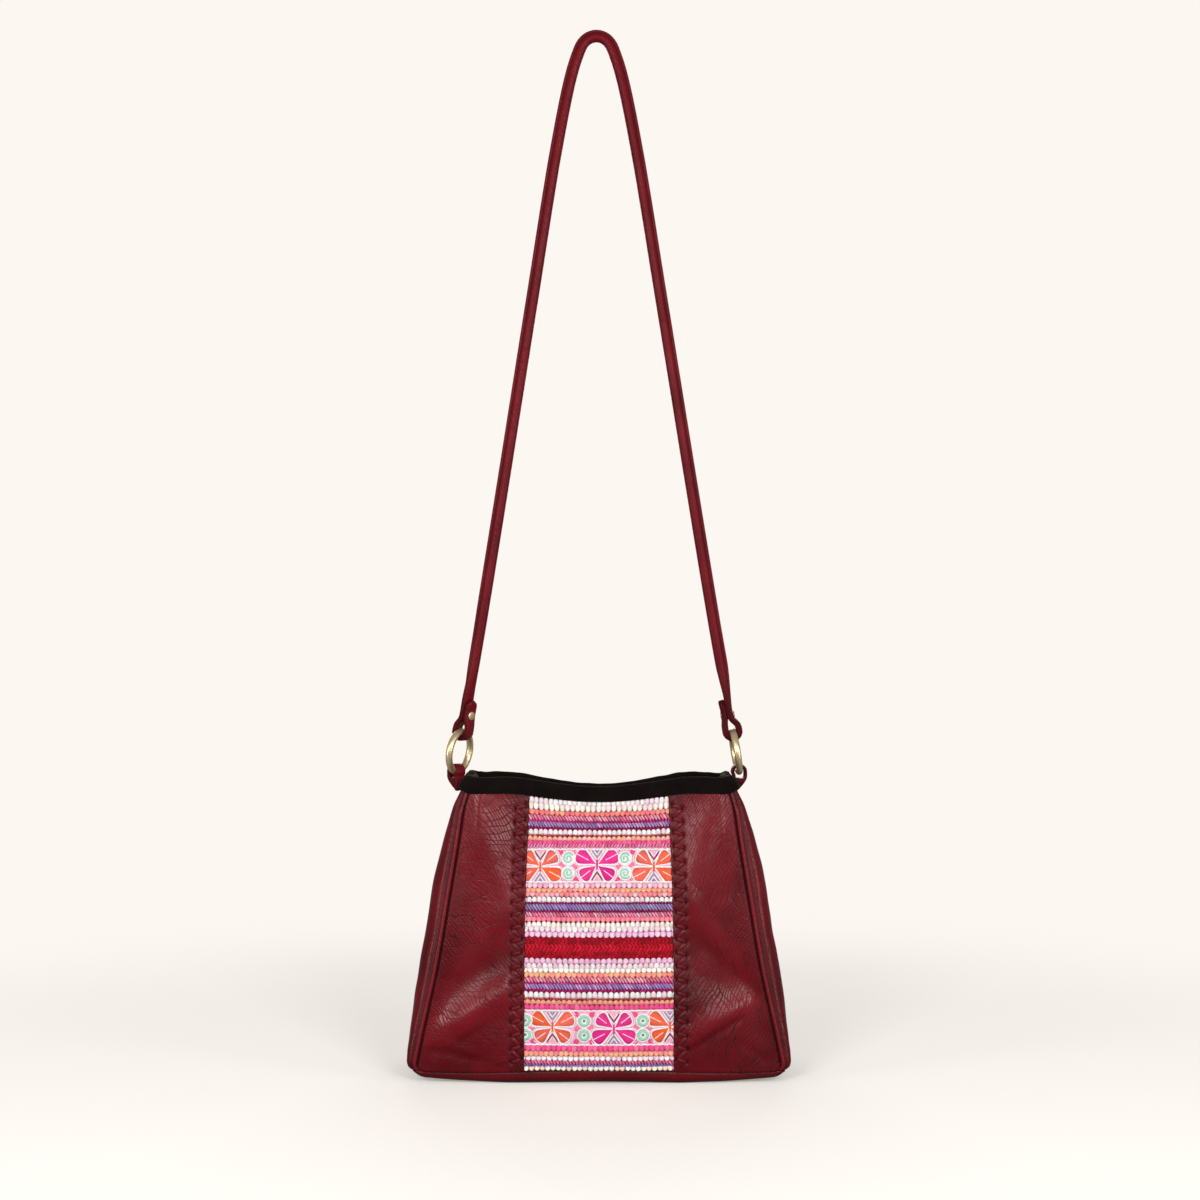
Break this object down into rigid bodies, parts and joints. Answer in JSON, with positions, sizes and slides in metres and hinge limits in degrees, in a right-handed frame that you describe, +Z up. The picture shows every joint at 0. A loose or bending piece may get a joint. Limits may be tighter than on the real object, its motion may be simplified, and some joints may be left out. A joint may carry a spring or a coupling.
{
  "type": "crossbody bag",
  "caption": "Soft leather crossbody bag, wider at the foot, with an embroidered textile strip laced into its front, a suede-bound mouth and a long rolled strap on brass rings.",
  "frame": {"origin": "under the top of the strap, at the point where the bag hangs", "axes": "+Z up, +X to the right seen from the embroidered front, which faces -Y"},
  "size_m": [0.2992, 0.1118, 0.8302],
  "materials": {
    "leather": "wine-red grained leather, soft gloss",
    "textile": "embroidered cotton in pink, white, orange, green and red",
    "suede": "black suede binding",
    "brass": "polished pale brass"
  },
  "bodies": {
    "root": {"front_left": "leather", "front_right": "leather", "embroidered_panel": "textile", "back_panel": "leather", "base_panel": "leather", "gusset_left": "leather", "gusset_right": "leather", "rim_band": "suede", "strap": "leather", "tab_left": "leather", "tab_right": "leather", "ring_left": "brass", "ring_right": "brass", "rivet_left": "brass", "rivet_right": "brass"}
  },
  "joints": []
}
